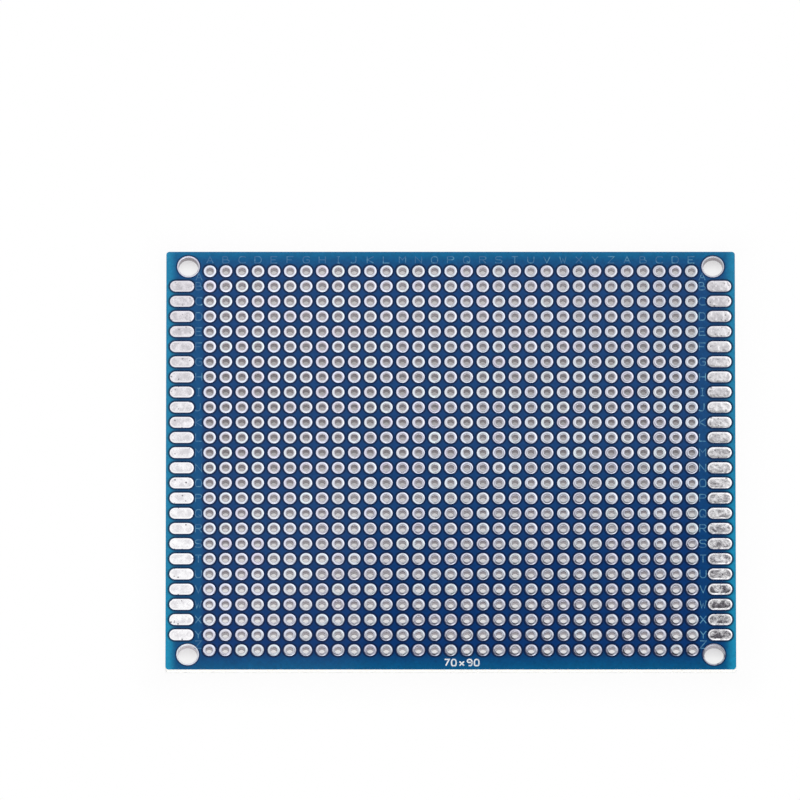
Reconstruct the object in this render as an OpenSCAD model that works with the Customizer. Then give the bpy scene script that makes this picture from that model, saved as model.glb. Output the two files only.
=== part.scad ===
// Prototype board: a drilled glass-fibre laminate with a blue solder mask on both faces,
// a grid of plated-through holes with tinned pads, a column of long tinned edge pads
// beside each short side and a plated mounting hole in each corner.
// The origin is the middle of the underside. +X runs along a row of holes, +Y points
// to row A and +Z out of the front face. Sizes are in millimetres.

/* [Hole grid] */
// Distance between neighbouring holes, centre to centre
pitch = 2.54; // [2:0.01:5.08]
// Number of holes in a row
columns = 31; // [6:1:60]
// Number of rows, lettered from A
rows = 26; // [5:1:26]

/* [Board] */
// Thickness over the pads of both faces
board_t = 1.6; // [0.8:0.1:3.2]
// Centre of the outer column to the short edge
side_margin = 6.9; // [5.6:0.1:15]
// Centre of the outer row to the long edge
end_margin = 3.25; // [2.6:0.05:10]
// Radius of the board's corners
corner_r = 0.5; // [0.1:0.1:1.2]

/* [Plating] */
// Diameter of a finished hole in the grid
hole_d = 1; // [0.6:0.05:1.25]
// Thickness of the copper and tin on a hole's wall
plating_t = 0.05; // [0.03:0.005:0.08]
// Height of a pad's crest above the laminate
pad_h = 0.06; // [0.045:0.005:0.1]
// How far a pad's crown falls from its crest to its edges
pad_crown = 0.04; // [0.01:0.005:0.04]
// Where a round pad's crest lies, from its hole (0) to its outer edge (1)
crest_share = 0.75; // [0.7:0.05:0.8]
// Radius of the lip where a pad rolls into its hole
lip_r = 0.1; // [0.05:0.01:0.14]
// Bare gap between neighbouring pads
pad_gap = 0.6; // [0.35:0.05:0.8]

/* [Solder mask] */
// Thickness of the mask on each face
mask_t = 0.025; // [0.015:0.005:0.035]
// Gap between the mask and every pad
mask_clearance = 0.12; // [0.05:0.01:0.17]

/* [Edge pads] */
// Length of an edge pad
edge_pad_l = 3.8; // [2.4:0.1:4.6]
// Bare gap between neighbouring edge pads
edge_pad_gap = 0.74; // [0.45:0.01:1.2]
// End of an edge pad to the short edge
edge_pad_inset = 0.6; // [0.3:0.1:1]
// Outer rows along each long edge that have no edge pad
rows_without_edge_pad = 1; // [1:1:2]

/* [Mounting holes] */
// Diameter of a finished mounting hole
mount_hole_d = 3.1; // [2:0.1:3.8]
// Width of the tinned ring round a mounting hole
mount_ring_w = 0.25; // [0.2:0.01:0.4]
// Centre of a mounting hole to the centre of the outer column
mount_offset_x = 3.4; // [2.8:0.1:4.2]
// Centre of a mounting hole to the long edge
mount_inset_y = 2.5; // [2.1:0.1:3]

/* [Hidden] */
$fn = 72;
LIP_STEPS = 2;
CROWN_STEPS = 2;
RIM_STEPS = 2;
LAMINATE = "#b9b78a";
MASK = "#244676";
TIN = "#d9dbe2";

grid_l = (columns - 1) * pitch;
grid_w = (rows - 1) * pitch;
board_l = grid_l + 2 * side_margin;
board_w = grid_w + 2 * end_margin;
laminate_t = board_t - 2 * pad_h;

hole_r = hole_d / 2;
pad_r = (pitch - pad_gap) / 2;

edge_pad_r = (pitch - edge_pad_gap) / 2;
edge_pad_straight = edge_pad_l - 2 * edge_pad_r;
edge_pad_x = board_l / 2 - edge_pad_inset - edge_pad_l / 2;

mount_hole_r = mount_hole_d / 2;
mount_ring_r = mount_hole_r + mount_ring_w;
mount_x = grid_l / 2 + mount_offset_x;
mount_y = board_w / 2 - mount_inset_y;

function column_x(column) = column * pitch - grid_l / 2;
function row_y(row) = grid_w / 2 - row * pitch;
function row_node(row) = str("plated_holes_row_", chr(ord("a") + row));

// Radius of a crown's arc, which falls by pad_crown over the width given.
function crown_radius(width) =
    (pow(width, 2) + pow(pad_crown, 2)) / (2 * pad_crown);

// Points of an arc, without its first one.
function arc(centre, radius, start, end, steps) =
    [for (i = [1 : steps])
        let (angle = start + (end - start) * i / steps)
            centre + radius * [cos(angle), sin(angle)]];

// Half of a plated hole's section, from the middle plane up: the inside of the barrel,
// the lip, the long slope up to the crest, the short one down to the pad's outer edge,
// and the drilled wall behind the barrel.
function plated_half_section(finished_r, ring_r) =
    let (
        crest_x = finished_r + crest_share * (ring_r - finished_r),
        inner_r = crown_radius(crest_x - finished_r),
        outer_r = crown_radius(ring_r - crest_x),
        inner_centre = [crest_x, board_t / 2 - inner_r],
        outer_centre = [crest_x, board_t / 2 - outer_r],
        lip_x = finished_r + lip_r,
        lip_rise = sqrt(pow(inner_r - lip_r, 2) - pow(crest_x - lip_x, 2)),
        lip_centre = [lip_x, inner_centre.y + lip_rise],
        touch_angle = atan2(lip_rise, lip_x - crest_x)
    )
    concat(
        [[finished_r, lip_centre.y]],
        arc(lip_centre, lip_r, 180, touch_angle, LIP_STEPS),
        arc(inner_centre, inner_r, touch_angle, 90, CROWN_STEPS),
        arc(outer_centre, outer_r, 90, acos((ring_r - crest_x) / outer_r), RIM_STEPS),
        [[ring_r, laminate_t / 2], [finished_r + plating_t, laminate_t / 2]]
    );

// Half of an edge pad's section, from its middle line to its side.
function edge_pad_half_section() =
    let (crown_r = crown_radius(edge_pad_r))
    concat(
        [[0, 0], [0, pad_h]],
        arc([0, pad_h - crown_r], crown_r, 90, acos(edge_pad_r / crown_r), CROWN_STEPS),
        [[edge_pad_r, 0]]
    );

// Places its child at each hole of one row.
module along_row(row) {
    for (column = [0 : columns - 1])
        translate([column_x(column), row_y(row)])
            children();
}

// Places its child at each edge pad of the column at x.
module along_edge(x) {
    for (row = [rows_without_edge_pad : rows - 1 - rows_without_edge_pad])
        translate([x, row_y(row)])
            children();
}

// Places its child at each mounting hole.
module at_each_mount() {
    for (x = [-mount_x, mount_x], y = [-mount_y, mount_y])
        translate([x, y])
            children();
}

// The board's outline: a rectangle with rounded corners.
module board_outline() {
    square([board_l - 2 * corner_r, board_w], center = true);
    square([board_l, board_w - 2 * corner_r], center = true);
    for (x = [-1, 1], y = [-1, 1])
        translate([x * (board_l / 2 - corner_r), y * (board_w / 2 - corner_r)])
            circle(corner_r);
}

// The mask's window over one edge pad: a bar with round ends.
module edge_pad_window() {
    window_r = edge_pad_r + mask_clearance;
    square([edge_pad_straight, 2 * window_r], center = true);
    for (side = [-1, 1])
        translate([side * edge_pad_straight / 2, 0])
            circle(window_r);
}

// A plated hole, turned from its section: a barrel with a crowned pad on each face.
module plated_hole(finished_r, ring_r) {
    upper = plated_half_section(finished_r, ring_r);
    lower = [for (i = [len(upper) - 1 : -1 : 0]) [upper[i].x, -upper[i].y]];
    translate([0, 0, board_t / 2])
        rotate_extrude()
            polygon(concat(upper, lower));
}

// An edge pad, crowned from side to side and round each end.
module edge_pad() {
    rotate([90, 0, 90])
        linear_extrude(edge_pad_straight, center = true)
            for (side = [0, 1])
                mirror([side, 0])
                    polygon(edge_pad_half_section());
    for (side = [-1, 1])
        translate([side * edge_pad_straight / 2, 0])
            rotate(-90 * side)
                rotate_extrude(angle = 180)
                    polygon(edge_pad_half_section());
}

// The glass-fibre board, drilled for every barrel.
module laminate() {
    color(LAMINATE)
        translate([0, 0, pad_h])
            linear_extrude(laminate_t)
                difference() {
                    board_outline();
                    for (row = [0 : rows - 1])
                        along_row(row) circle(hole_r + plating_t);
                    at_each_mount() circle(mount_hole_r + plating_t);
                }
}

// The mask's film on one face, from the height bottom up, with a window over every pad.
module solder_mask(bottom) {
    color(MASK)
        translate([0, 0, bottom])
            linear_extrude(mask_t)
                difference() {
                    board_outline();
                    for (row = [0 : rows - 1])
                        along_row(row) circle(pad_r + mask_clearance);
                    for (x = [-edge_pad_x, edge_pad_x])
                        along_edge(x) edge_pad_window();
                    at_each_mount() circle(mount_ring_r + mask_clearance);
                }
}

// One row of the grid's plated holes.
module plated_hole_row(row) {
    color(TIN)
        along_row(row) plated_hole(hole_r, pad_r);
}

// The plated mounting holes.
module mounting_hole_rings() {
    color(TIN)
        at_each_mount() plated_hole(mount_hole_r, mount_ring_r);
}

// The edge pads of one short side on the front face.
module front_edge_pads(x) {
    color(TIN)
        translate([0, 0, board_t - pad_h])
            along_edge(x) edge_pad();
}

// The edge pads of one short side on the back face.
module back_edge_pads(x) {
    color(TIN)
        translate([0, 0, pad_h])
            mirror([0, 0, 1])
                along_edge(x) edge_pad();
}

laminate();
solder_mask(board_t - pad_h);  // front_solder_mask
solder_mask(pad_h - mask_t);  // back_solder_mask
mounting_hole_rings();
front_edge_pads(-edge_pad_x);  // front_left_edge_pads
front_edge_pads(edge_pad_x);  // front_right_edge_pads
back_edge_pads(-edge_pad_x);  // back_left_edge_pads
back_edge_pads(edge_pad_x);  // back_right_edge_pads
for (row = [0 : rows - 1])
    plated_hole_row(row);
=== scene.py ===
import math

import bmesh
import bpy
import numpy as np
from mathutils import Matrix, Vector


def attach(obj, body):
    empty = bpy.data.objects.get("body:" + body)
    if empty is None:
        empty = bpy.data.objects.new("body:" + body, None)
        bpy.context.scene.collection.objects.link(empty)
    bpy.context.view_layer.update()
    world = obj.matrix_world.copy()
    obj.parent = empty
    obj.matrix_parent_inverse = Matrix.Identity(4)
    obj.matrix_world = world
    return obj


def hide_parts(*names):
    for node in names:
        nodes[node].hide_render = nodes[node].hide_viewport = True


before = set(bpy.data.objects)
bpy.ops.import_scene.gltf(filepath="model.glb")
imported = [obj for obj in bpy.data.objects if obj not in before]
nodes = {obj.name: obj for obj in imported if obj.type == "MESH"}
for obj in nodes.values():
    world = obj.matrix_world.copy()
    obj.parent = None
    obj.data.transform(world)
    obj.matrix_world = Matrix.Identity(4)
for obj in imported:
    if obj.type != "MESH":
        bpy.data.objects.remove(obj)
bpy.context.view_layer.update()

# The camera stands in front of the board's lower long edge and looks down on it from far away,
# so rows and columns stay parallel. The point it aims at lies left of the middle and above it.
MM = 0.001
BOARD_THICKNESS = 1.6
CAMERA_ELEVATION = math.radians(70.4)
CAMERA_DISTANCE = 5.3
SENSOR_WIDTH = 36
FRAME_WIDTH = 126.47 * MM
AIM = Vector((-8.01 * MM, 10.08 * MM, BOARD_THICKNESS * MM))

towards_camera = Vector((0, -math.cos(CAMERA_ELEVATION), math.sin(CAMERA_ELEVATION)))
camera = bpy.data.objects.new("camera", bpy.data.cameras.new("camera"))
camera.data.sensor_width = SENSOR_WIDTH
camera.data.lens = SENSOR_WIDTH * CAMERA_DISTANCE / FRAME_WIDTH
camera.data.clip_start = 0.1
camera.data.clip_end = 50
camera.location = AIM + towards_camera * CAMERA_DISTANCE
camera.rotation_mode = "QUATERNION"
camera.rotation_quaternion = (-towards_camera).to_track_quat("-Z", "Y")
bpy.context.scene.collection.objects.link(camera)
bpy.context.scene.camera = camera
bpy.context.scene.view_settings.view_transform = "Standard"


# The stage: a matt white floor, level with the lowest crests of the back pads. Round the board
# it keeps its shadow, and further out it is plain white. Under the board its glow is painted
# shade: through the holes it shows darkest behind the rows above the middle, and in each
# mounting hole the painted shade lightens downwards.
def linear(colour):
    """An sRGB hex colour as linear RGBA: each channel by the sRGB transfer curve."""
    srgb = np.array([int(colour[i : i + 2], 16) for i in (1, 3, 5)]) / 255
    rgb = np.where(srgb <= 0.04045, srgb / 12.92, ((srgb + 0.055) / 1.055) ** 2.4)
    return (*rgb.tolist(), 1)


def add_node(tree, kind, inputs=(), **settings):
    """Adds a shader node with its settings, and gives each input named a value or a link."""
    node = tree.nodes.new("ShaderNode" + kind)
    for name, value in settings.items():
        setattr(node, name, value)
    for name, value in dict(inputs).items():
        if isinstance(value, bpy.types.NodeSocket):
            tree.links.new(value, node.inputs[name])
        else:
            node.inputs[name].default_value = value
    return node


def new_material(name):
    """A material whose node tree is empty; returns both."""
    material = bpy.data.materials.new(name)
    material.use_nodes = True
    material.node_tree.nodes.clear()
    return material, material.node_tree


def millimetres(tree):
    """Where a point of the piece lies, in mm: its Object coordinates times a thousand."""
    place = add_node(tree, "TexCoord").outputs["Object"]
    return add_node(tree, "VectorMath", {0: place, 1: (1000, 1000, 1000)}, operation="MULTIPLY").outputs[0]


BOARD_HALF_LENGTH = 45
BOARD_HALF_WIDTH = 35
MOUNT_X = 41.5
MOUNT_Y = 32.5
MOUNT_MIDDLE = (MOUNT_X, MOUNT_Y, 0)
FLOOR_HALF = 4.0
FLOOR_DROP = 0.032 * MM
SHADOW_REACH = 7
# The floor's painted shade under the board, from row to row: y in mm, and the share of white glow.
UNDER_SHADE_LEVELS = (
    (32, 0.50),
    (24, 0.42),
    (16, 0.30),
    (2, 0.30),
    (-3, 0.36),
    (-7, 0.54),
    (-18, 0.60),
    (-23, 0.70),
)
LOWEST_LEVEL = 0.70

floor_mesh = bpy.data.meshes.new("floor")
floor_corners = ((-1, -1), (1, -1), (1, 1), (-1, 1))
floor_points = [(x * FLOOR_HALF, y * FLOOR_HALF, -FLOOR_DROP) for x, y in floor_corners]
floor_mesh.from_pydata(floor_points, [], [(0, 1, 2, 3)])
floor = bpy.data.objects.new("floor", floor_mesh)
bpy.context.scene.collection.objects.link(floor)

floor_paint, tree = new_material("matt_white_floor")
spot = millimetres(tree)
x, y, _ = add_node(tree, "SeparateXYZ", {0: spot}).outputs
# The board's four quarters folded onto one, so that one corner and one mounting hole serve all.
folded = add_node(tree, "VectorMath", {0: spot}, operation="ABSOLUTE").outputs[0]
board_corner = (BOARD_HALF_LENGTH, BOARD_HALF_WIDTH, 1)
past = add_node(tree, "VectorMath", {0: folded, 1: board_corner}, operation="SUBTRACT").outputs[0]
past = add_node(tree, "VectorMath", {0: past, 1: (0, 0, 0)}, operation="MAXIMUM").outputs[0]
past = add_node(tree, "VectorMath", {0: past}, operation="LENGTH").outputs["Value"]
away = add_node(
    tree,
    "MapRange",
    {"Value": past, "From Max": SHADOW_REACH, "To Min": 0.9, "To Max": 1.0},
    interpolation_type="SMOOTHSTEP",
).outputs[0]

# Painted shade under the board, set row by row from the table above.
down = add_node(
    tree,
    "MapRange",
    {"Value": y, "From Min": BOARD_HALF_WIDTH, "From Max": -BOARD_HALF_WIDTH},
).outputs[0]
shadow = add_node(tree, "ValToRGB", {"Fac": down})
for level_y, level in UNDER_SHADE_LEVELS:
    stop = shadow.color_ramp.elements.new(0.5 - level_y / (2 * BOARD_HALF_WIDTH))
    stop.color = (level, level, level, 1)
shadow.color_ramp.elements.remove(shadow.color_ramp.elements[0])
shadow.color_ramp.elements[-1].color = (LOWEST_LEVEL, LOWEST_LEVEL, LOWEST_LEVEL, 1)
right = add_node(
    tree,
    "MapRange",
    {"Value": x, "From Min": 8.0, "From Max": 24.0, "To Max": -0.05},
).outputs[0]
above = add_node(tree, "MapRange", {"Value": y, "From Min": -8.0, "From Max": 2.0}).outputs[0]
under = add_node(
    tree,
    "Math",
    {0: right, 1: above, 2: shadow.outputs[0]},
    operation="MULTIPLY_ADD",
).outputs[0]

# Painted shade in each mounting hole, darkest at its upper side.
mount = add_node(tree, "VectorMath", {0: folded, 1: MOUNT_MIDDLE}, operation="DISTANCE").outputs["Value"]
mount = add_node(tree, "MapRange", {"Value": mount, "From Min": 3.0, "From Max": 2.2}).outputs[0]
sign = add_node(tree, "Math", {0: y}, operation="SIGN").outputs[0]
up = add_node(tree, "Math", {0: sign, 1: -MOUNT_Y, 2: y}, operation="MULTIPLY_ADD").outputs[0]
shade = add_node(
    tree,
    "MapRange",
    {"Value": up, "From Min": 2.2, "From Max": -0.2, "To Min": 0.3, "To Max": 0.78},
).outputs[0]
under = add_node(tree, "Mix", {"Factor": mount, "A": under, "B": shade}, data_type="FLOAT").outputs[0]

outside = add_node(tree, "Math", {0: past, 1: 0.01}, operation="GREATER_THAN").outputs[0]
share = add_node(tree, "Mix", {"Factor": outside, "A": under, "B": away}, data_type="FLOAT").outputs[0]
rays = add_node(tree, "LightPath").outputs
seen = add_node(
    tree,
    "Math",
    {0: rays["Is Camera Ray"], 1: rays["Is Glossy Ray"]},
    operation="MAXIMUM",
).outputs[0]
seen = add_node(tree, "Math", {0: seen, 1: rays["Is Transmission Ray"]}, operation="MAXIMUM").outputs[0]
share = add_node(tree, "Math", {0: seen, 1: share}, operation="MULTIPLY").outputs[0]
paint = add_node(tree, "BsdfDiffuse", {"Color": linear("#f4f2f4")})
glow = add_node(tree, "Emission", {"Color": (1, 1, 1, 1), "Strength": 1.0})
mixed = add_node(tree, "MixShader", {0: share, 1: paint.outputs[0], 2: glow.outputs[0]})
add_node(tree, "OutputMaterial", {"Surface": mixed.outputs[0]})
floor_mesh.materials.append(floor_paint)

# The studio's walls, as the tin and the mask see them: bright low in front, dark overhead, a
# little lighter low behind, and lighter to the right. The camera sees plain white.
# Each level stands at a place from 0, in front, over 0.5, overhead, to 1, behind.
WALL_LEVELS = (
    (0.12, 1.6),
    (0.24, 0.9),
    (0.36, 0.25),
    (0.46, 0.16),
    (0.67, 0.18),
    (0.78, 0.20),
    (0.88, 0.36),
)
BACK_LEVEL = 0.5

world = bpy.data.worlds.new("studio")
bpy.context.scene.world = world
world.use_nodes = True
tree = world.node_tree
tree.nodes.clear()
direction = add_node(tree, "TexCoord").outputs["Generated"]
x, y, _ = add_node(tree, "SeparateXYZ", {0: direction}).outputs
backward = add_node(tree, "MapRange", {"Value": y, "From Min": -1.0}).outputs[0]
walls = add_node(tree, "ValToRGB", {"Fac": backward})
walls.color_ramp.interpolation = "EASE"
for place, level in WALL_LEVELS:
    stop = walls.color_ramp.elements.new(place)
    stop.color = (level, level, level, 1)
walls.color_ramp.elements.remove(walls.color_ramp.elements[0])
walls.color_ramp.elements[-1].color = (BACK_LEVEL, BACK_LEVEL, BACK_LEVEL, 1)
sideways = add_node(
    tree,
    "MapRange",
    {"Value": x, "From Min": 0.0, "From Max": 0.35, "To Max": 0.5},
    interpolation_type="SMOOTHSTEP",
).outputs[0]
level = add_node(tree, "Math", {0: walls.outputs[0], 1: sideways}, operation="ADD").outputs[0]
rays = add_node(tree, "LightPath").outputs
white = add_node(
    tree,
    "Math",
    {0: rays["Is Camera Ray"], 1: rays["Is Transmission Ray"]},
    operation="MAXIMUM",
).outputs[0]
level = add_node(tree, "Mix", {"Factor": white, "A": level, "B": 1.0}, data_type="FLOAT").outputs[0]
sky = add_node(tree, "Background", {"Color": (1, 1, 1, 1), "Strength": level})
add_node(tree, "OutputWorld", {"Surface": sky.outputs[0]})


def soft_panel(name, near_edge, size, turn, brightness, gloss):
    """A flat studio lamp, level above the board, with the middle of its near edge at the point
    given. A mirror shows the wall behind it with brightness added, where 1 is white: the lamp's
    power is brightness times pi and its area. With gloss it only mirrors in the tin and the
    mask, and without it it only lights them."""
    lamp = bpy.data.lights.new(name, "AREA")
    lamp.shape = "RECTANGLE"
    lamp.size, lamp.size_y = size
    lamp.energy = brightness * math.pi * lamp.size * lamp.size_y
    panel = bpy.data.objects.new(name, lamp)
    deep = Vector((-math.sin(turn), math.cos(turn), 0))
    panel.location = Vector(near_edge) + deep * lamp.size_y / 2
    panel.rotation_euler = (0, 0, turn)
    panel.visible_camera = False
    panel.visible_diffuse = not gloss
    panel.visible_glossy = gloss
    bpy.context.scene.collection.objects.link(panel)


soft_panel("lamp_behind", (0.11, 0.094, 0.25), (0.30, 0.40), 0.09, 0.97, False)
soft_panel("lamp_left", (-0.171, 0.03, 0.25), (0.27, 0.45), 0.0, 1.32, False)
soft_panel("mirrored_behind", (0.111, 0.035, 0.10), (0.252, 0.22), 0.0, 0.62, True)
soft_panel("mirrored_middle", (0.111, -0.002, 0.10), (0.252, 0.037), 0.0, 0.30, True)
soft_panel("mirrored_left", (-0.1155, -0.045, 0.10), (0.201, 0.30), 0.0, 0.80, True)

# The laminate: woven glass cloth in epoxy, pressed to 1.5 mm, drilled and cut to size. Its
# milled edge is pale, with the layers of cloth as fine lines along it. Its faces show only in
# the narrow gaps between mask and tin, where they are painted dark navy: painted shade.
LAYER = 0.19
MID_HEIGHT = BOARD_THICKNESS / 2
FACE_HEIGHT = 0.738
# The numbers of a Mix node's colour inputs and of its colour output.
MIX_A = 6
MIX_B = 7
MIXED = 2

laminate_finish, tree = new_material("milled_glass_fibre_epoxy")
spot = millimetres(tree)
_, _, z = add_node(tree, "SeparateXYZ", {0: spot}).outputs
wander = add_node(tree, "TexNoise", {"Vector": spot, "Scale": 0.9, "Detail": 2.0}).outputs["Fac"]
layered = add_node(tree, "Math", {0: wander, 1: 0.10, 2: z}, operation="MULTIPLY_ADD").outputs[0]
stripe = add_node(tree, "Math", {0: layered, 1: 2 * math.pi / LAYER}, operation="MULTIPLY").outputs[0]
stripe = add_node(tree, "Math", {0: stripe}, operation="SINE").outputs[0]
stretched = add_node(tree, "VectorMath", {0: spot, 1: (3.0, 3.0, 24.0)}, operation="MULTIPLY").outputs[0]
fibre = add_node(tree, "TexNoise", {"Vector": stretched, "Scale": 1.0, "Detail": 3.0}).outputs["Fac"]
cloth = add_node(tree, "Math", {0: stripe, 1: 0.22, 2: fibre}, operation="MULTIPLY_ADD").outputs[0]
cut = add_node(tree, "ValToRGB", {"Fac": cloth})
cut.color_ramp.elements[0].position = 0.25
cut.color_ramp.elements[0].color = linear("#f4f3ec")
cut.color_ramp.elements[1].position = 0.75
cut.color_ramp.elements[1].color = linear("#fdfdfb")
# The faces, away from the middle of the board's thickness, are painted dark navy: painted shade.
from_middle = add_node(tree, "Math", {0: z, 1: MID_HEIGHT}, operation="SUBTRACT").outputs[0]
from_middle = add_node(tree, "Math", {0: from_middle}, operation="ABSOLUTE").outputs[0]
face = add_node(tree, "Math", {0: from_middle, 1: FACE_HEIGHT}, operation="GREATER_THAN").outputs[0]
colour = add_node(
    tree,
    "Mix",
    {"Factor": face, MIX_A: cut.outputs[0], MIX_B: linear("#0a2a60")},
    data_type="RGBA",
).outputs[MIXED]
grain = add_node(tree, "Bump", {"Height": cloth, "Strength": 0.5, "Distance": 0.01 * MM}).outputs[0]
surface = add_node(
    tree,
    "BsdfPrincipled",
    {"Base Color": colour, "Roughness": 0.6, "Specular IOR Level": 0.2, "Normal": grain},
)
add_node(tree, "OutputMaterial", {"Surface": surface.outputs[0]})
nodes["laminate"].material_slots[0].material = laminate_finish

# The solder mask: a film of blue ink cured hard and glossy on both faces, open round every
# pad. Over bare laminate, towards the board's edges, it is greener and lighter, because light
# comes back through it. It lies a little uneven, with a few pale specks.
PITCH = 2.54
GRID_HALF_LENGTH = 15 * PITCH
GRID_HALF_WIDTH = 12.5 * PITCH
GRID_PAD_RADIUS = 0.97
EDGE_PAD_X = 42.5
LAST_EDGE_PAD_Y = 11.5 * PITCH
EDGE_PAD_HALF_LENGTH = 1.9
EDGE_PAD_RADIUS = 0.9
# Less than the mounting rings' own 1.8, because the mask is painted with less shade beside them.
RING_SHADE_RADIUS = 1.68


def distance_to_edge_pad(tree, flat):
    """How far a point, in mm, is outside the nearest edge pad: the distance from the pad's middle
    line, which runs along x between the middles of its round ends, less the pad's radius."""
    row = add_node(tree, "VectorMath", {0: flat, 1: (PITCH, PITCH, 1)}, operation="SNAP").outputs[0]
    row = add_node(tree, "VectorMath", {0: row, 1: (0, PITCH / 2, 0)}, operation="ADD").outputs[0]
    row = add_node(tree, "VectorMath", {0: row, 1: (0, LAST_EDGE_PAD_Y, 0)}, operation="MINIMUM").outputs[0]
    row = add_node(tree, "VectorMath", {0: row, 1: (0, -LAST_EDGE_PAD_Y, 0)}, operation="MAXIMUM").outputs[0]
    aside = add_node(tree, "VectorMath", {0: flat, 1: row}, operation="SUBTRACT").outputs[0]
    aside = add_node(tree, "SeparateXYZ", {0: aside}).outputs[1]
    along = add_node(tree, "SeparateXYZ", {0: flat}).outputs[0]
    along = add_node(tree, "Math", {0: along}, operation="ABSOLUTE").outputs[0]
    along = add_node(tree, "Math", {0: along, 1: EDGE_PAD_X}, operation="SUBTRACT").outputs[0]
    along = add_node(tree, "Math", {0: along}, operation="ABSOLUTE").outputs[0]
    straight = EDGE_PAD_HALF_LENGTH - EDGE_PAD_RADIUS
    along = add_node(tree, "Math", {0: along, 1: straight}, operation="SUBTRACT").outputs[0]
    along = add_node(tree, "Math", {0: along, 1: 0.0}, operation="MAXIMUM").outputs[0]
    distance = add_node(tree, "CombineXYZ", {0: along, 1: aside}).outputs[0]
    distance = add_node(tree, "VectorMath", {0: distance}, operation="LENGTH").outputs["Value"]
    return add_node(tree, "Math", {0: distance, 1: EDGE_PAD_RADIUS}, operation="SUBTRACT").outputs[0]


# Its colour: the field between the pads, and the margin over bare laminate, both deeper in the
# lower half and painted lighter in the upper half, a painted reflection. The margin has a wavy
# inner edge, and beyond the outer columns of holes it shows through a little too, more on the left.
mask_finish, tree = new_material("cured_blue_solder_mask")
spot = millimetres(tree)
x, y, _ = add_node(tree, "SeparateXYZ", {0: spot}).outputs
lean = add_node(tree, "Math", {0: x, 1: -0.2, 2: y}, operation="MULTIPLY_ADD").outputs[0]
# Painted reflection: the field and margin colours below are lighter above this slanted line.
lower = add_node(tree, "MapRange", {"Value": lean, "From Min": -6.0, "From Max": -22.0}).outputs[0]
field = add_node(
    tree,
    "Mix",
    {"Factor": lower, MIX_A: linear("#144177"), MIX_B: linear("#003571")},
    data_type="RGBA",
).outputs[MIXED]
margin = add_node(
    tree,
    "Mix",
    {"Factor": lower, MIX_A: linear("#005c8b"), MIX_B: linear("#005888")},
    data_type="RGBA",
).outputs[MIXED]
folded = add_node(tree, "VectorMath", {0: spot}, operation="ABSOLUTE").outputs[0]
folded_x, folded_y, _ = add_node(tree, "SeparateXYZ", {0: folded}).outputs
past_x = add_node(tree, "Math", {0: folded_x, 1: BOARD_HALF_LENGTH}, operation="SUBTRACT").outputs[0]
past_y = add_node(tree, "Math", {0: folded_y, 1: BOARD_HALF_WIDTH}, operation="SUBTRACT").outputs[0]
past = add_node(tree, "Math", {0: past_x, 1: past_y}, operation="MAXIMUM").outputs[0]
blotch = add_node(tree, "TexNoise", {"Vector": spot, "Scale": 0.35, "Detail": 3.0}).outputs["Fac"]
wavy = add_node(tree, "Math", {0: blotch, 1: 1.6, 2: past}, operation="MULTIPLY_ADD").outputs[0]
bare = add_node(tree, "MapRange", {"Value": wavy, "From Min": -2.4, "From Max": 0.6}).outputs[0]
left = add_node(
    tree,
    "MapRange",
    {"Value": y, "From Min": 20.0, "From Max": -20.0, "To Min": 0.33, "To Max": 0.6},
).outputs[0]
right = add_node(tree, "Math", {0: x, 1: 0.0}, operation="GREATER_THAN").outputs[0]
strip = add_node(tree, "Mix", {"Factor": right, "A": left, "B": 0.2}, data_type="FLOAT").outputs[0]
strip = add_node(
    tree,
    "MapRange",
    {"Value": folded_x, "From Min": 38.9, "From Max": 39.5, "To Max": strip},
).outputs[0]
bare = add_node(tree, "Math", {0: bare, 1: strip}, operation="MAXIMUM").outputs[0]
colour = add_node(
    tree,
    "Mix",
    {"Factor": bare, MIX_A: field, MIX_B: margin},
    data_type="RGBA",
).outputs[MIXED]

# Along the short edges, and a little along the upper one, light from the cut edge makes it pale.
rim = add_node(
    tree,
    "MapRange",
    {"Value": past_x, "From Min": -2.0, "From Max": -0.2, "To Max": 0.7},
    interpolation_type="SMOOTHSTEP",
).outputs[0]
top_rim = add_node(
    tree,
    "MapRange",
    {"Value": y, "From Min": 33.6, "From Max": 35.0, "To Max": 0.2},
).outputs[0]
rim = add_node(tree, "Math", {0: rim, 1: top_rim}, operation="MAXIMUM").outputs[0]
pale = add_node(
    tree,
    "Mix",
    {"Factor": lower, MIX_A: linear("#268cb4"), MIX_B: linear("#209fc8")},
    data_type="RGBA",
).outputs[MIXED]
colour = add_node(
    tree,
    "Mix",
    {"Factor": rim, MIX_A: colour, MIX_B: pale},
    data_type="RGBA",
).outputs[MIXED]

# The mask is painted darker beside the tin, as painted shade round the pads: the distance is the
# least of those to the nearest round pad, edge pad and mounting ring.
flat = add_node(tree, "VectorMath", {0: spot, 1: (1, 1, 0)}, operation="MULTIPLY").outputs[0]
last_pad = (GRID_HALF_LENGTH, GRID_HALF_WIDTH, 0)
first_pad = (-GRID_HALF_LENGTH, -GRID_HALF_WIDTH, 0)
pad = add_node(tree, "VectorMath", {0: flat, 1: (PITCH / 2, 0, 0)}, operation="ADD").outputs[0]
pad = add_node(tree, "VectorMath", {0: pad, 1: (PITCH, PITCH, 1)}, operation="SNAP").outputs[0]
pad = add_node(tree, "VectorMath", {0: pad, 1: (0, PITCH / 2, 0)}, operation="ADD").outputs[0]
pad = add_node(tree, "VectorMath", {0: pad, 1: last_pad}, operation="MINIMUM").outputs[0]
pad = add_node(tree, "VectorMath", {0: pad, 1: first_pad}, operation="MAXIMUM").outputs[0]
to_pad = add_node(tree, "VectorMath", {0: flat, 1: pad}, operation="DISTANCE").outputs["Value"]
to_pad = add_node(tree, "Math", {0: to_pad, 1: GRID_PAD_RADIUS}, operation="SUBTRACT").outputs[0]
to_ring = add_node(tree, "VectorMath", {0: folded, 1: (1, 1, 0)}, operation="MULTIPLY").outputs[0]
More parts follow.
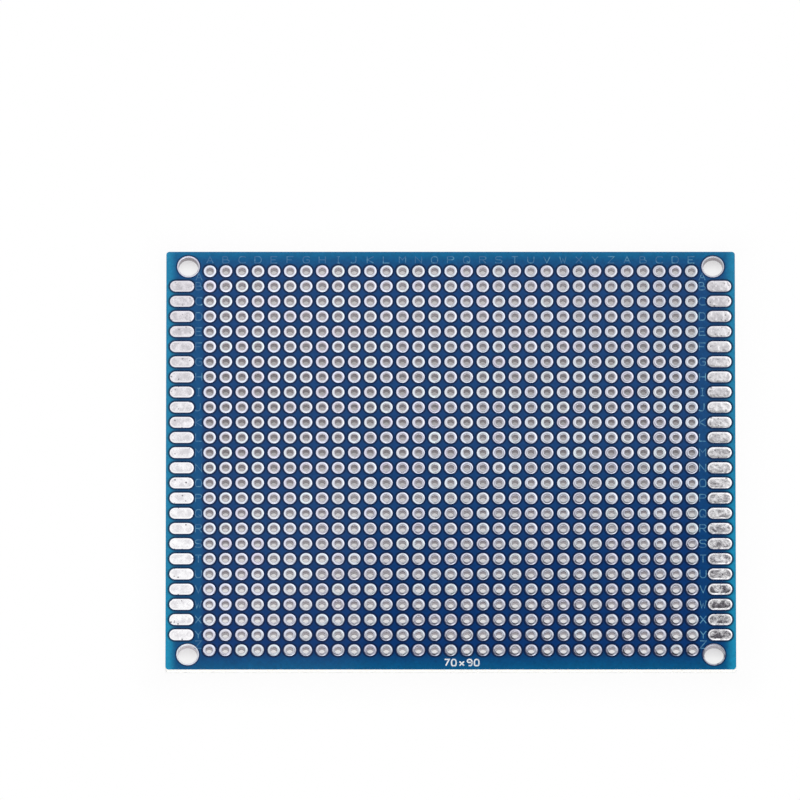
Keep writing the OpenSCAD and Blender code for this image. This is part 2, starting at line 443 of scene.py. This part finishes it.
to_ring = add_node(tree, "VectorMath", {0: to_ring, 1: MOUNT_MIDDLE}, operation="DISTANCE").outputs["Value"]
to_ring = add_node(tree, "Math", {0: to_ring, 1: RING_SHADE_RADIUS}, operation="SUBTRACT").outputs[0]
to_edge_pad = distance_to_edge_pad(tree, flat)
to_tin = add_node(tree, "Math", {0: to_pad, 1: to_edge_pad}, operation="MINIMUM").outputs[0]
to_tin = add_node(tree, "Math", {0: to_tin, 1: to_ring}, operation="MINIMUM").outputs[0]
painted_shade_beside_tin = add_node(
    tree,
    "MapRange",
    {"Value": to_tin, "From Min": 0.18, "From Max": 0.43, "To Min": 0.3, "To Max": 1.0},
    interpolation_type="SMOOTHSTEP",
).outputs[0]
mottle = add_node(
    tree,
    "TexNoise",
    {"Vector": spot, "Scale": 2.2, "Detail": 4.0, "Roughness": 0.65},
).outputs["Fac"]
mottle_and_shade = add_node(
    tree,
    "MapRange",
    {"Value": mottle, "From Min": 0.3, "From Max": 0.7, "To Min": 0.86, "To Max": 1.14},
).outputs[0]
mottle_and_shade = add_node(tree, "Math", {0: mottle_and_shade, 1: painted_shade_beside_tin}, operation="MULTIPLY").outputs[0]
colour = add_node(tree, "VectorMath", {0: colour, "Scale": mottle_and_shade}, operation="SCALE").outputs[0]

# Specks of dust under the film, one cell of 2.4 mm in four, drawn as wide as they need to show.
speck = add_node(tree, "TexVoronoi", {"Vector": spot, "Scale": 0.41})
chance = add_node(tree, "SeparateColor", {0: speck.outputs["Color"]}).outputs[0]
width = add_node(tree, "MapRange", {"Value": chance, "From Min": 0.72, "To Max": 0.07}).outputs[0]
width = add_node(tree, "Math", {0: width, 1: speck.outputs["Distance"]}, operation="SUBTRACT").outputs[0]
dust = add_node(tree, "MapRange", {"Value": width, "From Max": 0.03, "To Max": 0.55}).outputs[0]
colour = add_node(
    tree,
    "Mix",
    {"Factor": dust, MIX_A: colour, MIX_B: linear("#7f9fc0")},
    data_type="RGBA",
).outputs[MIXED]
ripple = add_node(tree, "TexNoise", {"Vector": spot, "Scale": 1.2, "Detail": 3.0}).outputs["Fac"]
relief = add_node(tree, "Bump", {"Height": ripple, "Strength": 1.0, "Distance": 0.008 * MM}).outputs[0]
surface = add_node(
    tree,
    "BsdfPrincipled",
    {"Base Color": colour, "Roughness": 0.11, "Specular IOR Level": 0.14, "Normal": relief},
)
add_node(tree, "OutputMaterial", {"Surface": surface.outputs[0]})
for name in ("front_solder_mask", "back_solder_mask"):
    nodes[name].material_slots[0].material = mask_finish

# The plated holes and the rings of the mounting holes: copper barrels and pads, dipped in
# tin that hot air blew level. The tin is bright and a little different from pad to pad. It is
# hazy towards the upper left, and clearer, steeper and lumpier towards the lower right.
# The mounting rings stand beyond this x, and are shaded like a pad this far from its middle.
RING_ZONE_X = 39.4
RING_ZONE_R = 0.72
SHARP_ANGLE = math.radians(50)
WELD_DISTANCE = 0.0005 * MM

tin_finish, tree = new_material("hot_air_levelled_tin")
spot = millimetres(tree)
x, y, z = add_node(tree, "SeparateXYZ", {0: spot}).outputs
rings = add_node(tree, "Math", {0: x}, operation="ABSOLUTE").outputs[0]
rings = add_node(tree, "Math", {0: rings, 1: RING_ZONE_X}, operation="GREATER_THAN").outputs[0]
across = add_node(tree, "Math", {0: y, 1: -0.9, 2: x}, operation="MULTIPLY_ADD").outputs[0]
corner = add_node(tree, "MapRange", {"Value": across, "From Min": -40.0, "From Max": 50.0}).outputs[0]
late = add_node(tree, "Math", {0: x, 1: 0.3}, operation="MULTIPLY").outputs[0]
late = add_node(tree, "Math", {0: late, 1: x}, operation="MINIMUM").outputs[0]
late = add_node(tree, "Math", {0: y, 1: -1.6, 2: late}, operation="MULTIPLY_ADD").outputs[0]
late = add_node(tree, "MapRange", {"Value": late, "From Min": 5.0, "From Max": 55.0}).outputs[0]

# Every pad has its own tilt, tone and haze, drawn from the cell of the grid that it stands in.
shifted = add_node(tree, "VectorMath", {0: spot, 1: (PITCH / 2, 0, 0)}, operation="ADD").outputs[0]
cell = add_node(tree, "VectorMath", {0: shifted, 1: (PITCH, PITCH, 10)}, operation="SNAP").outputs[0]
chance = add_node(tree, "TexWhiteNoise", {"Vector": cell}, noise_dimensions="3D")
tilt = chance.outputs["Color"]
tilt = add_node(tree, "VectorMath", {0: tilt, 1: (-0.5, -0.5, -0.5)}, operation="ADD").outputs[0]
tilt = add_node(tree, "VectorMath", {0: tilt, "Scale": 0.16}, operation="SCALE").outputs[0]
normal = add_node(tree, "NewGeometry").outputs["Normal"]
tilt = add_node(tree, "VectorMath", {0: normal, 1: tilt}, operation="ADD").outputs[0]
tilt = add_node(tree, "VectorMath", {0: tilt}, operation="NORMALIZE").outputs[0]
haze = add_node(tree, "MapRange", {"Value": corner, "To Min": 0.18, "To Max": 0.04}).outputs[0]
roughness = add_node(
    tree,
    "Math",
    {0: chance.outputs["Value"], 1: 0.06, 2: haze},
    operation="MULTIPLY_ADD",
).outputs[0]
roughness = add_node(tree, "Math", {0: rings, 1: 0.25, 2: roughness}, operation="MULTIPLY_ADD").outputs[0]

# The distance from the middle of the pad, in mm, tells its hole, lip, slope and rim apart.
middle = add_node(tree, "VectorMath", {0: cell, 1: (0, PITCH / 2, 0)}, operation="ADD").outputs[0]
middle = add_node(tree, "VectorMath", {0: middle, 1: (1, 1, 0)}, operation="MULTIPLY").outputs[0]
flat = add_node(tree, "VectorMath", {0: spot, 1: (1, 1, 0)}, operation="MULTIPLY").outputs[0]
offset = add_node(tree, "VectorMath", {0: flat, 1: middle}, operation="SUBTRACT").outputs[0]
r = add_node(tree, "VectorMath", {0: offset}, operation="LENGTH").outputs["Value"]
r = add_node(tree, "Mix", {"Factor": rings, "A": r, "B": RING_ZONE_R}, data_type="FLOAT").outputs[0]
lumps = add_node(tree, "TexNoise", {"Vector": spot, "Scale": 2.2, "Detail": 2.0}).outputs["Fac"]
lump_height = add_node(tree, "MapRange", {"Value": late, "To Min": 0.014, "To Max": 0.034}).outputs[0]
height = add_node(tree, "Math", {0: lumps, 1: lump_height}, operation="MULTIPLY").outputs[0]
fall = add_node(tree, "MapRange", {"Value": late, "To Min": -0.11, "To Max": -0.30}).outputs[0]
height = add_node(tree, "Math", {0: r, 1: fall, 2: height}, operation="MULTIPLY_ADD").outputs[0]
relief = add_node(
    tree,
    "Bump",
    {"Height": height, "Normal": tilt, "Strength": 1.0, "Distance": 1.0 * MM},
).outputs[0]

# Its tone: pale, with a trace of a random tint, and painted greyer towards the upper right: painted shade.
tone = add_node(
    tree,
    "Mix",
    {"Factor": chance.outputs["Value"], MIX_A: linear("#eff3fe"), MIX_B: linear("#e1e5f2")},
    data_type="RGBA",
).outputs[MIXED]
tint = add_node(
    tree,
    "Mix",
    {"Factor": 0.07, MIX_A: linear("#ffffff"), MIX_B: chance.outputs["Color"]},
    data_type="RGBA",
).outputs[MIXED]
tone = add_node(tree, "VectorMath", {0: tone, 1: tint}, operation="MULTIPLY").outputs[0]
right = add_node(tree, "MapRange", {"Value": x, "From Min": 0.0, "From Max": 28.0}).outputs[0]
above = add_node(tree, "MapRange", {"Value": y, "From Min": 8.0, "From Max": 30.0, "To Max": 0.45}).outputs[0]
dull = add_node(tree, "Math", {0: right, 1: above}, operation="MULTIPLY").outputs[0]
tone = add_node(
    tree,
    "Mix",
    {"Factor": dull, MIX_A: tone, MIX_B: linear("#cbcfda")},
    data_type="RGBA",
).outputs[MIXED]

# Painted shade: the tone is painted darker inside the barrels, most in the lower rows, on the lips
# towards the upper left, and on the mounting rings, most on the upper ones.
deep = add_node(tree, "Math", {0: z, 1: MID_HEIGHT}, operation="SUBTRACT").outputs[0]
deep = add_node(tree, "Math", {0: deep}, operation="ABSOLUTE").outputs[0]
deep = add_node(tree, "MapRange", {"Value": deep, "From Min": 0.76, "From Max": 0.66}).outputs[0]
lip = add_node(tree, "MapRange", {"Value": r, "From Min": 0.75, "From Max": 0.60}).outputs[0]
early = add_node(tree, "MapRange", {"Value": corner, "To Min": 1.0, "To Max": 0.0}).outputs[0]
lip = add_node(tree, "Math", {0: lip, 1: early}, operation="MULTIPLY").outputs[0]
deep = add_node(tree, "Math", {0: deep, 1: lip}, operation="MAXIMUM").outputs[0]
upper = add_node(
    tree,
    "MapRange",
    {"Value": y, "From Min": -5.0, "From Max": 5.0, "To Min": 0.12, "To Max": 0.36},
).outputs[0]
ring = add_node(tree, "Math", {0: rings, 1: upper}, operation="MULTIPLY").outputs[0]
deep = add_node(tree, "Math", {0: deep, 1: ring}, operation="MAXIMUM").outputs[0]
upper_ring = add_node(tree, "MapRange", {"Value": ring, "From Min": 0.12, "From Max": 0.36}).outputs[0]
below = add_node(tree, "MapRange", {"Value": y, "From Min": -4.0, "From Max": -8.0}).outputs[0]
painted_shade_tone = add_node(
    tree,
    "Mix",
    {"Factor": below, MIX_A: linear("#b5aeb4"), MIX_B: linear("#a19aa1")},
    data_type="RGBA",
).outputs[MIXED]
painted_shade_tone = add_node(
    tree,
    "Mix",
    {"Factor": rings, MIX_A: painted_shade_tone, MIX_B: linear("#d8d2d6")},
    data_type="RGBA",
).outputs[MIXED]
painted_shade_tone = add_node(
    tree,
    "Mix",
    {"Factor": upper_ring, MIX_A: painted_shade_tone, MIX_B: linear("#a8a2a6")},
    data_type="RGBA",
).outputs[MIXED]
tone = add_node(
    tree,
    "Mix",
    {"Factor": deep, MIX_A: tone, MIX_B: painted_shade_tone},
    data_type="RGBA",
).outputs[MIXED]

# Painted shade: towards the lower right the tin outside the lips is painted grey, most on a pad's
# lower left.
shaded_side = add_node(
    tree,
    "VectorMath",
    {0: offset, 1: (-0.75, -0.66, 0)},
    operation="DOT_PRODUCT",
).outputs["Value"]
shaded_side = add_node(
    tree,
    "MapRange",
    {"Value": shaded_side, "From Min": 0.2, "From Max": 0.6},
    interpolation_type="SMOOTHSTEP",
).outputs[0]
shaded_side = add_node(tree, "Math", {0: shaded_side, 1: 0.4}, operation="MAXIMUM").outputs[0]
thin = add_node(tree, "MapRange", {"Value": r, "From Min": 0.57, "From Max": 0.67}).outputs[0]
thin = add_node(tree, "Math", {0: thin, 1: shaded_side}, operation="MULTIPLY").outputs[0]
thin = add_node(tree, "Math", {0: thin, 1: late}, operation="MULTIPLY").outputs[0]
tone = add_node(
    tree,
    "Mix",
    {"Factor": thin, MIX_A: tone, MIX_B: linear("#898a98")},
    data_type="RGBA",
).outputs[MIXED]
surface = add_node(
    tree,
    "BsdfPrincipled",
    {"Base Color": tone, "Metallic": 1.0, "Roughness": roughness, "Normal": relief},
)
add_node(tree, "OutputMaterial", {"Surface": surface.outputs[0]})

for name, node in nodes.items():
    if name.startswith("plated_holes_row_") or name == "mounting_hole_rings":
        node.material_slots[0].material = tin_finish
        node.data.shade_smooth()
        weld = node.modifiers.new("weld", "WELD")
        weld.merge_threshold = WELD_DISTANCE
        split = node.modifiers.new("keep_sharp_edges", "EDGE_SPLIT")
        split.split_angle = SHARP_ANGLE


# The edge pads: long pads of tinned copper on both faces, beside each short side. Their tin
# froze into a smooth rim round a lumpy middle. Each column of 24 is one piece.
def lattice_noise(points, cell_size, seed):
    """Smooth random heights between -1 and 1: random values on a square lattice, blended
    between the four corners of a cell by 3t^2 - 2t^3."""
    values = np.random.default_rng(seed).uniform(-1, 1, (256, 256))
    spot = points / cell_size
    whole = np.floor(spot).astype(int)
    t = spot - whole
    t = t * t * (3 - 2 * t)
    x, y = whole[..., 0] % 256, whole[..., 1] % 256
    right, up = (x + 1) % 256, (y + 1) % 256
    low = values[x, y] * (1 - t[..., 0]) + values[right, y] * t[..., 0]
    high = values[x, up] * (1 - t[..., 0]) + values[right, up] * t[..., 0]
    return low * (1 - t[..., 1]) + high * t[..., 1]


def closed_piece(name, points, faces, merge=False):
    """A piece of the object from points in mm and faces, with doubles merged if asked and every
    face turned outwards."""
    mesh = bpy.data.meshes.new(name)
    mesh.from_pydata((points * MM).tolist(), [], faces.tolist())
    shell = bmesh.new()
    shell.from_mesh(mesh)
    if merge:
        bmesh.ops.remove_doubles(shell, verts=shell.verts, dist=WELD_DISTANCE)
    bmesh.ops.recalc_face_normals(shell, faces=shell.faces)
    shell.to_mesh(mesh)
    shell.free()
    piece = bpy.data.objects.new(name, mesh)
    bpy.context.scene.collection.objects.link(piece)
    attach(piece, "root")
    return piece


EDGE_PADS = 24
EDGE_PAD_BASE = 1.54
TIN_HEIGHT = 0.05
TIN_FALL = 0.03
THINNEST_TIN = 0.012
ALONG_STEPS = 44
ACROSS_STEPS = 20
TIP_CROWDING = 0.35
SIDE_CROWDING = 0.8
RIM_SHARE = 0.22
LUMP_SIZES = (0.8, 0.38, 0.18)
NOISE_ORIGIN = 60


def tinned_edge_pads(name, side, face, seed, lump_heights):
    """One column of edge pads as closed lumpy bars.

    Along a pad x runs from tip to tip, closer together near the tips. Across it y is the half
    width of the rounded bar at x, times v from -1 to 1, closer together near the sides. The tin
    is TIN_HEIGHT high, less a fall that grows with the sixth power of the distance from the
    pad's middle line, plus three sizes of lattice noise that fade out at the rim, and never
    thinner than THINNEST_TIN. A strip at the base closes the bar from below.
    """
    turn = np.linspace(0, math.pi, ALONG_STEPS + 1)
    x = TIP_CROWDING * np.cos(turn) + (1 - TIP_CROWDING) * (1 - 2 * turn / math.pi)
    x = -EDGE_PAD_HALF_LENGTH * x
    past = np.maximum(np.abs(x) - (EDGE_PAD_HALF_LENGTH - EDGE_PAD_RADIUS), 0)
    half = np.sqrt(np.maximum(EDGE_PAD_RADIUS**2 - past**2, 0))
    side_turn = math.pi / 2 * SIDE_CROWDING
    v = np.sin(np.linspace(-1, 1, ACROSS_STEPS + 1) * side_turn) / math.sin(side_turn)
    pad_y = LAST_EDGE_PAD_Y - np.arange(EDGE_PADS) * PITCH
    pad, along, over = np.meshgrid(pad_y, np.arange(x.size), np.arange(v.size), indexing="ij")
    local_x, local_y = x[along], half[along] * v[over]
    out = np.hypot(past[along], local_y) / EDGE_PAD_RADIUS
    piece_x, piece_y = local_x + side * EDGE_PAD_X, local_y + pad
    spots = np.stack([piece_x, piece_y], axis=-1) + NOISE_ORIGIN
    lumps = sum(
        height * lattice_noise(spots, cell_size, seed + i)
        for i, (cell_size, height) in enumerate(zip(LUMP_SIZES, lump_heights))
    )
    fade = np.clip((1 - out) / RIM_SHARE, 0, 1) ** 1.5
    top = EDGE_PAD_BASE + TIN_HEIGHT - TIN_FALL * out**6 + lumps * fade
    top = np.maximum(top, EDGE_PAD_BASE + THINNEST_TIN)
    sheet = np.stack([piece_x, piece_y, top], axis=-1)
    base = sheet[:, :, [0, -1]]
    base[..., 2] = EDGE_PAD_BASE
    ring = np.concatenate([base[:, :, :1], sheet, base[:, :, 1:]], axis=2)
    if face < 0:
        ring[..., 2] = BOARD_THICKNESS - ring[..., 2]
    index = np.arange(ring[..., 0].size).reshape(ring.shape[:3])
    following = np.roll(index, -1, axis=2)
    quads = np.stack([index[:, :-1], following[:, :-1], following[:, 1:], index[:, 1:]], axis=-1)
    piece = closed_piece(name, ring.reshape(-1, 3), quads.reshape(-1, 4), merge=True)
    piece.data.shade_smooth()
    split = piece.modifiers.new("keep_sharp_edges", "EDGE_SPLIT")
    split.split_angle = SHARP_ANGLE
    return piece


# The tin's finish: bright patches and duller ones inside a bright rim, a few dark pits, and
# towards the lower right a darker, blotched middle.
lumpy_tin, tree = new_material("frozen_lumpy_tin")
spot = millimetres(tree)
x, y, _ = add_node(tree, "SeparateXYZ", {0: spot}).outputs
across = add_node(tree, "Math", {0: y, 1: -1.0, 2: x}, operation="MULTIPLY_ADD").outputs[0]
corner = add_node(tree, "MapRange", {"Value": across, "From Min": 0.0, "From Max": 62.0}).outputs[0]
far_corner = add_node(tree, "Math", {0: corner, 1: 3.2}, operation="POWER").outputs[0]
down = add_node(tree, "Math", {0: x, 1: -0.2, 2: y}, operation="MULTIPLY_ADD").outputs[0]
down = add_node(tree, "MapRange", {"Value": down, "From Min": 38.5, "From Max": -1.5}).outputs[0]
flat = add_node(tree, "VectorMath", {0: spot, 1: (1, 1, 0)}, operation="MULTIPLY").outputs[0]
inward = distance_to_edge_pad(tree, flat)
inward = add_node(tree, "Math", {0: inward, 1: -1.0}, operation="MULTIPLY").outputs[0]
rim = add_node(tree, "MapRange", {"Value": inward, "From Min": 0.34, "From Max": 0.16}).outputs[0]
patch = add_node(
    tree,
    "TexNoise",
    {"Vector": spot, "Scale": 0.75, "Detail": 6.0, "Roughness": 0.72},
).outputs["Fac"]
patch = add_node(tree, "Math", {0: far_corner, 1: -0.03, 2: patch}, operation="MULTIPLY_ADD").outputs[0]
patch = add_node(tree, "MapRange", {"Value": patch, "From Min": 0.43, "From Max": 0.58}).outputs[0]
patch = add_node(tree, "Math", {0: patch, 1: rim}, operation="MAXIMUM").outputs[0]
low = add_node(
    tree,
    "Mix",
    {"Factor": down, MIX_A: linear("#c2bec4"), MIX_B: linear("#e2e0e4")},
    data_type="RGBA",
).outputs[MIXED]
low = add_node(
    tree,
    "Mix",
    {"Factor": far_corner, MIX_A: low, MIX_B: linear("#737077")},
    data_type="RGBA",
).outputs[MIXED]
high = add_node(
    tree,
    "Mix",
    {"Factor": down, MIX_A: linear("#e6e2e8"), MIX_B: linear("#fdfcfe")},
    data_type="RGBA",
).outputs[MIXED]
tone = add_node(
    tree,
    "Mix",
    {"Factor": patch, MIX_A: low, MIX_B: high},
    data_type="RGBA",
).outputs[MIXED]

pit = add_node(tree, "TexVoronoi", {"Vector": spot, "Scale": 1.7})
chance = add_node(tree, "SeparateColor", {0: pit.outputs["Color"]}).outputs[0]
width = add_node(tree, "MapRange", {"Value": chance, "From Min": 0.45, "To Max": 0.34}).outputs[0]
width = add_node(tree, "Math", {0: width, 1: pit.outputs["Distance"]}, operation="SUBTRACT").outputs[0]
strength = add_node(tree, "MapRange", {"Value": down, "To Min": 0.45, "To Max": 0.95}).outputs[0]
spared = add_node(tree, "MapRange", {"Value": corner, "To Min": 1.0, "To Max": 0.6}).outputs[0]
strength = add_node(tree, "Math", {0: strength, 1: spared}, operation="MULTIPLY").outputs[0]
pitted = add_node(tree, "MapRange", {"Value": width, "From Max": 0.1, "To Max": strength}).outputs[0]
tone = add_node(
    tree,
    "Mix",
    {"Factor": pitted, MIX_A: tone, MIX_B: linear("#6a676d")},
    data_type="RGBA",
).outputs[MIXED]

haze = add_node(tree, "MapRange", {"Value": corner, "To Min": 0.16, "To Max": 0.04}).outputs[0]
dull = add_node(tree, "Math", {0: patch, 1: corner}, operation="MULTIPLY").outputs[0]
roughness = add_node(tree, "Math", {0: dull, 1: 0.26, 2: haze}, operation="MULTIPLY_ADD").outputs[0]
fine = add_node(tree, "TexNoise", {"Vector": spot, "Scale": 3.4, "Detail": 2.0}).outputs["Fac"]
fine_height = add_node(tree, "MapRange", {"Value": patch, "To Min": 0.12, "To Max": 0.03}).outputs[0]
fine = add_node(tree, "Math", {0: fine, 1: fine_height}, operation="MULTIPLY").outputs[0]
fine = add_node(tree, "Math", {0: fine, 1: far_corner}, operation="MULTIPLY").outputs[0]
slope = add_node(tree, "Math", {0: inward, 1: 0.24}, operation="MINIMUM").outputs[0]
slope = add_node(tree, "Math", {0: slope, 1: corner}, operation="MULTIPLY").outputs[0]
height = add_node(tree, "Math", {0: slope, 1: 0.28, 2: fine}, operation="MULTIPLY_ADD").outputs[0]
relief = add_node(tree, "Bump", {"Height": height, "Strength": 1.0, "Distance": 1.0 * MM}).outputs[0]
surface = add_node(
    tree,
    "BsdfPrincipled",
    {"Base Color": tone, "Metallic": 1.0, "Roughness": roughness, "Normal": relief},
)
add_node(tree, "OutputMaterial", {"Surface": surface.outputs[0]})

LEFT_LUMPS = (0.020, 0.010, 0.002)
RIGHT_LUMPS = (0.016, 0.026, 0.010)
for seed, (face_name, face) in enumerate((("front", 1), ("back", -1))):
    for side_name, side, lump_heights in (("left", -1, LEFT_LUMPS), ("right", 1, RIGHT_LUMPS)):
        node_name = f"{face_name}_{side_name}_edge_pads"
        piece = tinned_edge_pads(node_name + "_tin", side, face, 10 * seed + 3 * side + 5, lump_heights)
        piece.data.materials.append(lumpy_tin)
        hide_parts(node_name)

# The index letters: one thin line of pale ink for every stroke, printed on the mask beside
# the rows and columns. Each row is lettered A to Z at both ends, and the columns A to Z and
# on from A again, along the upper edge.
INK_BASE = 1.564
INK_TOP = 1.572
# Each stroke of a letter lies this much above the one before, so no two tops lie in one plane.
INK_OVERLAP = 0.001
# A stroke's points as pairs of digits, across 0 to 4 and up 0 to 6. A stroke marked ~ is round.
STROKES = {
    "A": "00 26 40/12 32",
    "B": "00 06/~06 36 33 03/~03 43 40 00",
    "C": "~45 46 06 00 40 41",
    "D": "00 06/~06 46 40 00",
    "E": "46 06 00 40/03 33",
    "F": "46 06 00/03 33",
    "G": "~45 46 06 00 40 43/43 23",
    "H": "00 06/40 46/03 43",
    "I": "20 26/10 30/16 36",
    "J": "~36 30 00 01",
    "K": "00 06/46 03 40",
    "L": "06 00 40",
    "M": "00 06 23 46 40",
    "N": "00 06 40 46",
    "O": "~20 00 06 46 40 20",
    "P": "00 06/~06 46 43 03",
    "Q": "~20 00 06 46 40 20/22 40",
    "R": "00 06/~06 46 43 03/23 40",
    "S": "~45 46 06 03 43 40 00 01",
    "T": "06 46/26 20",
    "U": "~06 00 40 46",
    "V": "06 20 46",
    "W": "06 10 24 30 46",
    "X": "00 46/06 40",
    "Y": "06 23 46/23 20",
    "Z": "06 46 00 40",
    "7": "06 46 10",
    "0": "~20 00 06 46 40 20",
    "9": "~43 03 06 46 40 10",
    "x": "00 44/04 40",
}


def stroke_paths(letter):
    """The letter's strokes as points on a grid 4 wide and 6 high, from -0.5 to 0.5 each way.
    A stroke marked ~ has its corners cut three times, to points 1/4 and 3/4 along each line."""
    for stroke in STROKES[letter].split("/"):
        path = np.array([(int(pair[0]), int(pair[1])) for pair in stroke.strip("~").split()], float)
        if stroke[0] == "~":
            for _ in range(3):
                near = 0.75 * path[:-1] + 0.25 * path[1:]
                far = 0.25 * path[:-1] + 0.75 * path[1:]
                cut_corners = np.stack([near, far], axis=1).reshape(-1, 2)
                path = np.concatenate([path[:1], cut_corners, path[-1:]])
        yield path / (4, 6) - 0.5


def ink_line(path, width, top):
    """A flat bar of ink along a path: at each point, half the width to both sides along the
    mean of the neighbouring lines' normals, stretched so that the bar keeps its width."""
    lines = np.diff(path, axis=0)
    lines /= np.linalg.norm(lines, axis=1, keepdims=True)
    normals = np.stack([-lines[:, 1], lines[:, 0]], axis=1)
    before = np.concatenate([normals[:1], normals])
    after = np.concatenate([normals, normals[-1:]])
    mean = before + after
    mean /= np.linalg.norm(mean, axis=1, keepdims=True)
    reach = width / 2 / np.maximum((mean * after).sum(axis=1, keepdims=True), 0.5)
    sides = [path + mean * reach, path - mean * reach]
    low = [np.column_stack([side, np.full(len(path), INK_BASE)]) for side in sides]
    high = [np.column_stack([side, np.full(len(path), top)]) for side in sides]
    ring = np.stack([low[0], high[0], high[1], low[1]], axis=1)
    index = np.arange(len(path) * 4).reshape(-1, 4)
    following = np.roll(index, -1, axis=1)
    walls = np.stack([index[:-1], index[1:], following[1:], following[:-1]], axis=-1).reshape(-1, 4)
    caps = np.array([index[0], index[-1][::-1]])
    return ring.reshape(-1, 3), np.concatenate([walls, caps])


def print_ink(name, words, width, material):
    """One mesh of all the letters in words: (letter, middle, size) with middle and size in mm."""
    points, faces, count = [], [], 0
    for letter, middle, size in words:
        for stroke, path in enumerate(stroke_paths(letter)):
            ring, walls = ink_line(path * size + middle, width, INK_TOP + stroke * INK_OVERLAP)
            points.append(ring)
            faces.append(walls + count)
            count += len(ring)
    piece = closed_piece(name, np.concatenate(points), np.concatenate(faces))
    piece.data.materials.append(material)


def ink_material(name, thin, full, fade):
    """Printed epoxy ink, from the colour where it lies thin to where it lies full. fade is how
    much thinner it lies towards the upper left."""
    material, tree = new_material(name)
    spot = millimetres(tree)
    x, y, _ = add_node(tree, "SeparateXYZ", {0: spot}).outputs
    across = add_node(tree, "Math", {0: y, 1: -0.9, 2: x}, operation="MULTIPLY_ADD").outputs[0]
    weak = add_node(
        tree,
        "MapRange",
        {"Value": across, "From Min": -70.0, "From Max": 60.0, "To Min": -fade, "To Max": 0.0},
    ).outputs[0]
    patch = add_node(tree, "TexNoise", {"Vector": spot, "Scale": 1.6, "Detail": 3.0}).outputs["Fac"]
    patch = add_node(tree, "Math", {0: patch, 1: weak}, operation="ADD").outputs[0]
    cover = add_node(tree, "MapRange", {"Value": patch, "From Min": 0.32, "From Max": 0.58}).outputs[0]
    colour = add_node(
        tree,
        "Mix",
        {"Factor": cover, MIX_A: linear(thin), MIX_B: linear(full)},
        data_type="RGBA",
    ).outputs[MIXED]
    surface = add_node(tree, "BsdfPrincipled", {"Base Color": colour, "Roughness": 0.4})
    add_node(tree, "OutputMaterial", {"Surface": surface.outputs[0]})
    return material


LETTERS = "ABCDEFGHIJKLMNOPQRSTUVWXYZ"
COLUMNS = 31
ROWS = 26
INDEX_STROKE = 0.14
ROW_LETTER_SIZE = np.array([0.98, 1.25])
ROW_LETTER_LEFT_X = -39.83
ROW_LETTER_RIGHT_X = 39.81
COLUMN_LETTER_SIZE = np.array([1.0, 1.08])
COLUMN_LETTER_Y = 33.65
# The first and the last row letter stand this much nearer the middle, clear of the mounting rings.
FIRST_LAST_NUDGE = 0.9

words = []
for column in range(COLUMNS):
    letter_x = column * PITCH - GRID_HALF_LENGTH
    words.append((LETTERS[column % len(LETTERS)], (letter_x, COLUMN_LETTER_Y), COLUMN_LETTER_SIZE))
for row in range(ROWS):
    letter_y = GRID_HALF_WIDTH - row * PITCH
    letter_y -= FIRST_LAST_NUDGE * ((row == 0) - (row == ROWS - 1))
    words.append((LETTERS[row], (ROW_LETTER_LEFT_X, letter_y), ROW_LETTER_SIZE))
    words.append((LETTERS[row], (ROW_LETTER_RIGHT_X, letter_y), ROW_LETTER_SIZE))
index_ink = ink_material("faint_blue_index_ink", "#1f5d8c", "#5595b5", 0.2)
print_ink("index_letters", words, INDEX_STROKE, index_ink)

# The printed numbers near the lower edge: the board's size in plain digits, in white ink and
# bolder strokes.
NUMBER_STROKE = 0.22
NUMBER_SIZE = np.array([0.72, 1.04])
NUMBER_MIDDLE = (1.73, -33.84)
DIGIT_STEPS = (-2.35, -1.25, 0, 1.25, 2.35)

number_x, number_y = NUMBER_MIDDLE
numbers = [(digit, (number_x + step, number_y), NUMBER_SIZE) for digit, step in zip("70x90", DIGIT_STEPS)]
white_ink = ink_material("white_legend_ink", "#c9d6e2", "#f2f4f6", 0.0)
print_ink("printed_numbers", numbers, NUMBER_STROKE, white_ink)
